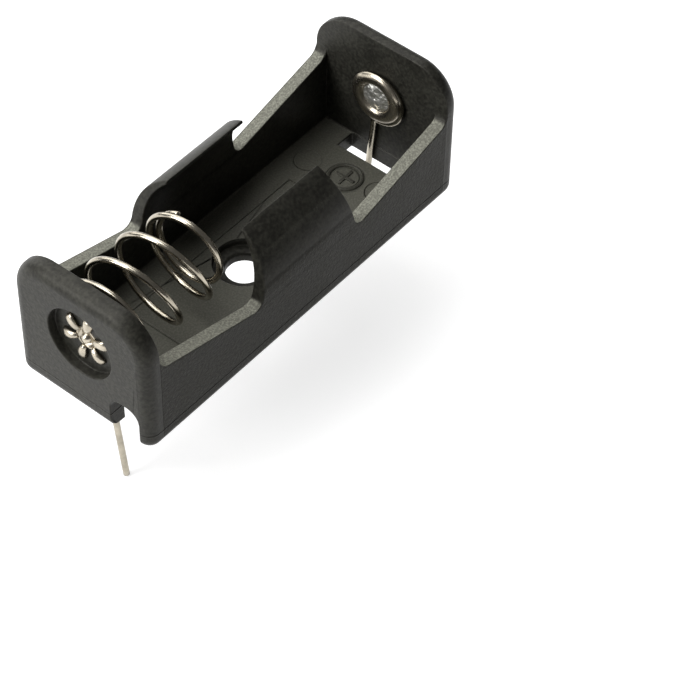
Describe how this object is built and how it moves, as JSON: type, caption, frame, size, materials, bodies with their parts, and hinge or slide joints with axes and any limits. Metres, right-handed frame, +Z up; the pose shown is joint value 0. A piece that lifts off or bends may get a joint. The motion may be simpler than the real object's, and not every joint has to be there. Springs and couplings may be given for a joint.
{
  "type": "cylindrical cell holder",
  "caption": "Open-topped moulded holder for one small cylindrical cell, with curved retaining clips, a coil spring contact, a rivet contact and solder pins for a circuit board.",
  "frame": {"origin": "centre of the underside, on the axis of the screw hole", "axes": "+X along the cell towards its positive end, +Z up out of the board, +Y across"},
  "size_m": [0.0406, 0.015, 0.023],
  "materials": {
    "body": "black moulded plastic, fine grain on the long sides, smoother ends",
    "wire": "bright nickel-plated spring wire",
    "rivet": "bright nickel-plated sheet metal"
  },
  "bodies": {
    "holder": {"holder_body": "body", "negative_rivet": "rivet", "positive_rivet": "rivet", "positive_wire": "wire"},
    "contact_spring": {"negative_spring": "wire"}
  },
  "joints": [
    {"name": "spring_press", "type": "slide", "parent": "holder", "child": "contact_spring", "axis": [-1, 0, 0], "range_m": [0, 0.0063], "stiffness_N_per_m": 660, "deforming": ["negative_spring"]}
  ]
}
